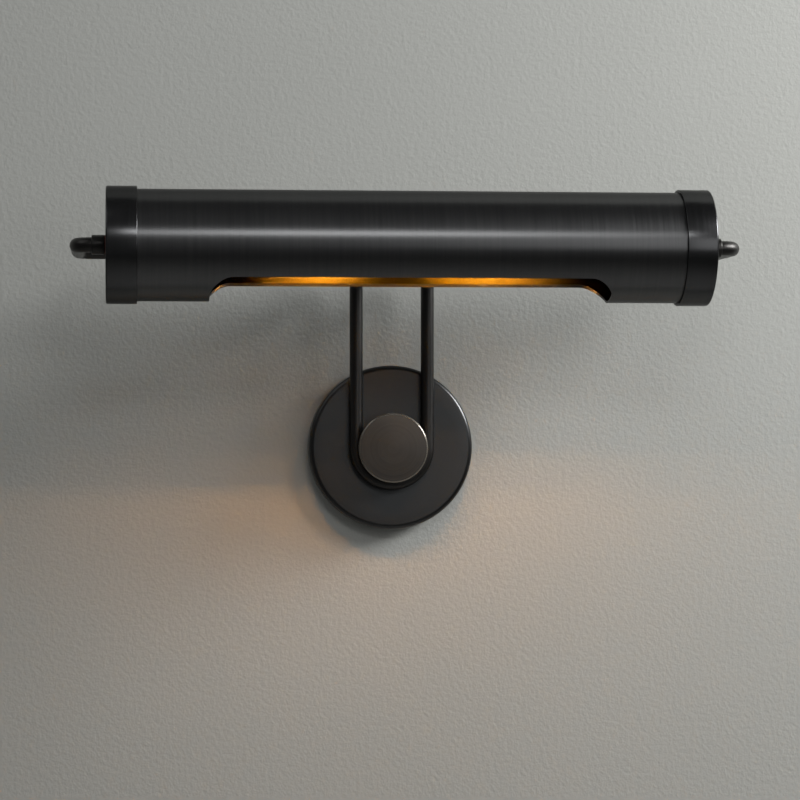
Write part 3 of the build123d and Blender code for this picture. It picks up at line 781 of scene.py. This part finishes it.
def rubbed_rim(finish, start, end, colour, rough):
    """Between two distances from the y axis the finish turns to a lighter, smoother one, as the
    rim of a turned piece does where hands and cloths rub it."""
    x, _, z = finish.parted(finish.coordinates)
    near_rim = finish.ramp(finish.length(x, z), 0, 1, start * mm, end * mm)
    face = finish.shader.inputs["Base Color"].links[0].from_socket
    finish.join(finish.blend(near_rim, face, colour), finish.shader.inputs["Base Color"])
    mix = finish.add("ShaderNodeMix", data_type="FLOAT")
    finish.join(near_rim, mix.inputs[0])
    finish.join(finish.shader.inputs["Roughness"].links[0].from_socket, mix.inputs[2])
    mix.inputs[3].default_value = rough
    finish.join(mix.outputs[0], finish.shader.inputs["Roughness"])


rubbed_rim(plate_metal, 46.8, 47.6, (0.065, 0.066, 0.067), 0.28)
rubbed_rim(knob_metal, 20.1, 20.3, (0.30, 0.275, 0.24), 0.22)


def moulded(name, dark, light, rough, grain=700.0, depth=0.00001):
    """A matt moulding or sleeve: close colours, an even grain and no metal."""
    finish = Finish(name)
    grains = finish.noise(finish.coordinates, grain)
    finish.join(finish.blend(finish.noise(finish.coordinates, 40.0), dark, light),
                finish.shader.inputs["Base Color"])
    finish.join(finish.ramp(grains, rough[0], rough[1], 0.3, 0.7), finish.shader.inputs["Roughness"])
    finish.bump(grains, depth)
    return finish


fibre = moulded("red fibre", (0.16, 0.035, 0.022), (0.22, 0.05, 0.03), (0.55, 0.7))
holder_stuff = moulded("black holder moulding", (0.018, 0.018, 0.018), (0.03, 0.03, 0.03), (0.35, 0.45))
block_stuff = moulded("white block moulding", (0.62, 0.61, 0.57), (0.72, 0.71, 0.67), (0.4, 0.5))
sleeving = moulded("lead sleeve", (0.10, 0.05, 0.03), (0.14, 0.07, 0.04), (0.45, 0.55))
print("plain finishes ready")

# %% [markdown]
# Glass round a light needs care. Real light goes through it, but a path tracer can't aim at a lamp
# through a bending surface. So rays from lamps pass straight through (the Light Path trick), and
# the eye still sees glass. The wire shines with the colour of a candle.

# %% Glass and hot wire
glass = Finish("clear lamp glass")
glass.set(Roughness=0.02, IOR=1.45, Transmission_Weight=1.0)
glass.shader.inputs["Base Color"].default_value = (1.0, 0.96, 0.88, 1.0)
see_through = glass.add("ShaderNodeBsdfTransparent")
path = glass.add("ShaderNodeLightPath")
choose = glass.add("ShaderNodeMixShader")
glass.join(path.outputs["Is Shadow Ray"], choose.inputs[0])
glass.join(glass.shader.outputs[0], choose.inputs[1])
glass.join(see_through.outputs[0], choose.inputs[2])
glass.join(choose.outputs[0], glass.tree.nodes["Material Output"].inputs["Surface"])

hot = Finish("hot wire")
hot.set(Emission_Strength=455.0, Roughness=0.6)
hot.shader.inputs["Base Color"].default_value = (0.9, 0.6, 0.3, 1.0)
hot.shader.inputs["Emission Color"].default_value = (1.0, 0.475, 0.135, 1.0)
print("lamp finishes ready")

# %% Put each finish on its pieces
finish_of_slot = {
    "shade_metal": outer_metal, "rod_metal": rod_metal, "plate_metal": plate_metal,
    "knob_metal": knob_metal, "zinc_steel": zinc, "brass": brass, "lamp_cap_metal": screw_metal,
    "lamp_glass": glass, "filament": hot, "fibre": fibre, "holder_moulding": holder_stuff,
    "block_moulding": block_stuff, "lead_sleeve": sleeving}
finish_of_piece = {"cap_left": cap_metal, "cap_right": cap_metal}
for name, piece in pieces.items():
    finish = finish_of_piece.get(name, finish_of_slot[piece["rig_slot"]])
    piece.data.materials.append(finish.material)
shown = [o for n, o in nodes.items() if not o.hide_render]
for node in shown:
    for place in node.material_slots:
        place.material = finish_of_slot[place.material.name].material
print("solids still shown:", len(shown))

# %% [markdown]
# The inside of the tube is gilt, and the edge of its slot is dark. A second material slot does
# it, for the faces whose middle lies on the bore, to a tenth of a millimetre.

# %% Gilt inside
shade.data.materials.append(gilt.material)
middles = np.array([p.center for p in shade.data.polygons]) / mm - np.array([0, shade_y, shade_z])
from_axis = np.hypot(middles[:, 1], middles[:, 2])
on_bore = 0.1
inside_faces = (from_axis < tube_bore + on_bore).astype(np.int32)
shade.data.polygons.foreach_set("material_index", inside_faces)
print("gilt faces:", int(inside_faces.sum()))

# %% [markdown]
# ## Wall, floor and light
#
# The lamp hangs on a piece of pale plastered wall, with a floor far below. The wall is seen from
# the room only, and it has a hole behind the plate, as a real wall has for its wires, so that a
# view from behind still shows the back of the lamp.

# %% Wall and floor
def sheet_object(name, points, faces):
    """A flat sheet of the stage, from points in metres and the point numbers of its faces."""
    mesh = bpy.data.meshes.new(name)
    mesh.from_pydata(np.array(points, float), [], faces)
    piece = bpy.data.objects.new(name, mesh)
    bpy.context.scene.collection.objects.link(piece)
    return piece


wall_y, wall_half, wall_low, wall_high, hole = 0.0003, 0.85, -1.4, 0.95, 0.048
floor_half, floor_front, hole_corners = 3.0, -4.0, 72
corner_angles = [math.atan2(z, x) for x in (-wall_half, wall_half) for z in (wall_low, wall_high)]
round_hole = np.sort(np.concatenate([angles(hole_corners) - math.pi, corner_angles]))
flat = np.stack([np.cos(round_hole), np.sin(round_hole)], axis=1)
reach_x = wall_half / np.maximum(np.abs(flat[:, 0]), 1e-9)
reach_z = np.where(flat[:, 1] > 0, wall_high, -wall_low) / np.maximum(np.abs(flat[:, 1]), 1e-9)
rim = flat * np.minimum(reach_x, reach_z)[:, None]
ring = np.concatenate([flat * hole, rim])
count = len(flat)
here = np.arange(count)
after = (here + 1) % count
wall = sheet_object("wall", np.insert(ring, 1, wall_y, axis=1),
                    np.stack([here, here + count, after + count, after], axis=1))
floor = sheet_object("floor", [(-floor_half, floor_front, wall_low), (floor_half, floor_front, wall_low),
                               (floor_half, wall_y, wall_low), (-floor_half, wall_y, wall_low)],
                     [(0, 1, 2, 3)])

plaster = Finish("plaster")
coarse = plaster.noise(plaster.coordinates, 360.0, detail=4.0, roughness=0.6)
broad = plaster.noise(plaster.coordinates, 6.0)
plaster.join(plaster.blend(broad, (0.455, 0.463, 0.436), (0.485, 0.493, 0.466)),
             plaster.shader.inputs["Base Color"])
plaster.set(Roughness=0.75)
plaster.bump(coarse, 0.0006, 0.5)
behind = plaster.add("ShaderNodeNewGeometry").outputs["Backfacing"]
clear = plaster.add("ShaderNodeBsdfTransparent")
pick = plaster.add("ShaderNodeMixShader")
light_path = plaster.add("ShaderNodeLightPath")
plaster.join(plaster.maths("MAXIMUM", behind, light_path.outputs["Is Shadow Ray"]), pick.inputs[0])
plaster.join(plaster.shader.outputs[0], pick.inputs[1])
plaster.join(clear.outputs[0], pick.inputs[2])
plaster.join(pick.outputs[0], plaster.tree.nodes["Material Output"].inputs["Surface"])
wall.data.materials.append(plaster.material)

pale_floor = Finish("pale floor")
pale_floor.join(pale_floor.blend(pale_floor.noise(pale_floor.coordinates, 3.0), (0.46, 0.46, 0.45),
                                 (0.50, 0.50, 0.49)), pale_floor.shader.inputs["Base Color"])
pale_floor.set(Roughness=0.6)
floor.data.materials.append(pale_floor.material)
print("wall faces the room:", tuple(round(c, 2) for c in wall.data.polygons[0].normal))

# %% [markdown]
# The lamp is lit as the photographer lit it. How bright each place on the wall is, and how the
# tube's shadow falls on it, say where the lights stood: two soft ones on the right, one of them
# almost beside the wall, a weak one low in front, a faint one on the left and a narrow one
# high in front, which gives the long highlight on the tube. One light could give that highlight or
# that shadow, but not both.

# %% Light
world = bpy.data.worlds.new("studio")
world.use_nodes = True
world.node_tree.nodes["Background"].inputs["Color"].default_value = (0.072, 0.072, 0.072, 1.0)
world.node_tree.nodes["Background"].inputs["Strength"].default_value = 1.0
bpy.context.scene.world = world


def softbox(name, place, aim, width, height, watts):
    """A rectangular light at a place, turned to shine at a point."""
    data = bpy.data.lights.new(name, "AREA")
    data.shape, data.size, data.size_y, data.energy = "RECTANGLE", width, height, watts
    lamp = bpy.data.objects.new(name, data)
    lamp.location = place
    lamp.rotation_euler = (Vector(aim) - lamp.location).to_track_quat("-Z", "Y").to_euler()
    bpy.context.scene.collection.objects.link(lamp)
    return lamp


middle = (0, 0, 0.05)
key = softbox("key", (1.022, -0.716, 0.686), middle, 0.45, 0.45, 10.0)
side = softbox("side", (1.241, -0.264, 0.642), middle, 0.45, 0.45, 16.6)
fill = softbox("fill", (0.521, -1.288, 0.221), middle, 0.6, 0.45, 1.0)
left = softbox("left", (-0.929, -0.536, 0.950), middle, 0.9, 0.9, 1.5)
front = softbox("front", (0.06, -1.19, 0.565), (0, -0.125, 0.116), 0.35, 0.14, 1.35)
print("lights:", key.name, side.name, fill.name, left.name, front.name)

# %% [markdown]
# ## Camera
#
# The place and lens were found by fitting a plain camera to measured points of the photograph:
# the ends of the tube, the slot's corners, the plate and the knob.

# %% Camera
yaw, pitch = math.radians(5.611), math.radians(0.158)
forward = Vector((math.sin(yaw) * math.cos(pitch), math.cos(yaw) * math.cos(pitch), math.sin(pitch)))
right = Vector((math.cos(yaw), -math.sin(yaw), 0.0))
upward = right.cross(forward)
camera_data = bpy.data.cameras.new("camera")
camera_data.lens, camera_data.sensor_width = 124.31, 36.0
camera = bpy.data.objects.new("camera", camera_data)
turn = Matrix((right, upward, -forward)).transposed()
camera.matrix_world = Matrix.Translation((-0.1592, -1.6898, 0.0243)) @ turn.to_4x4()
bpy.context.scene.collection.objects.link(camera)
bpy.context.scene.camera = camera
bpy.context.scene.view_settings.view_transform = "Standard"
print("camera at", tuple(round(c, 3) for c in camera.location))
